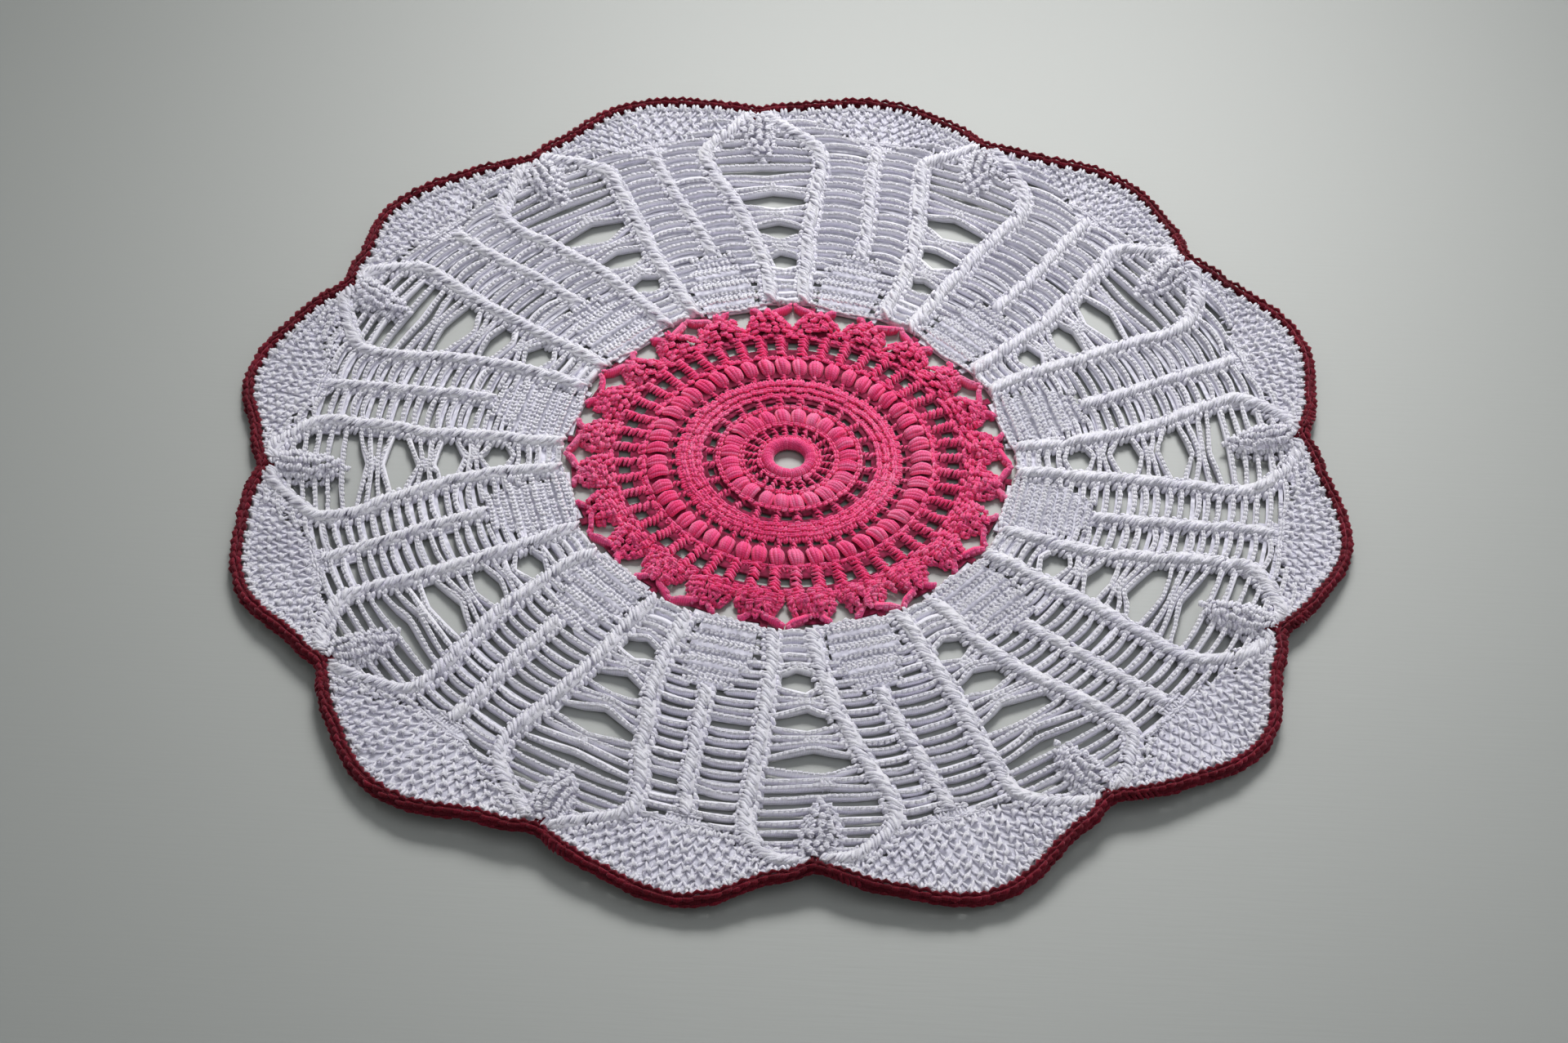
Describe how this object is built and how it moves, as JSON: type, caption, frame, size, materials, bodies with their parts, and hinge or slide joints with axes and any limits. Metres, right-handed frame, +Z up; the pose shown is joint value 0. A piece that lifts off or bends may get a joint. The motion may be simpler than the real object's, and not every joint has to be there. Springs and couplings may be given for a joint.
{
  "type": "round crocheted doily (decorative table napkin)",
  "caption": "Flat round crocheted doily with a raised rosette middle, a field of openwork leaves and ribs, and a scalloped rim edged in a darker yarn; lies on a table under a vase or a dish",
  "frame": {"origin": "the middle of the eyelet, on the surface the doily lies on, which is also the middle of its outline", "axes": "+Z up out of the face, +Y to the far edge as it lies, +X to the right"},
  "size_m": [0.3017, 0.3033, 0.0076],
  "materials": {
    "pink_cotton": "mercerised cotton crochet yarn, soft satin, pink",
    "white_cotton": "mercerised cotton crochet yarn, soft satin, cool white",
    "dark_red_cotton": "mercerised cotton crochet yarn, soft satin, dark red"
  },
  "bodies": {
    "root": {"medallion": "pink_cotton", "petal_field": "white_cotton", "edging": "dark_red_cotton"}
  },
  "joints": []
}
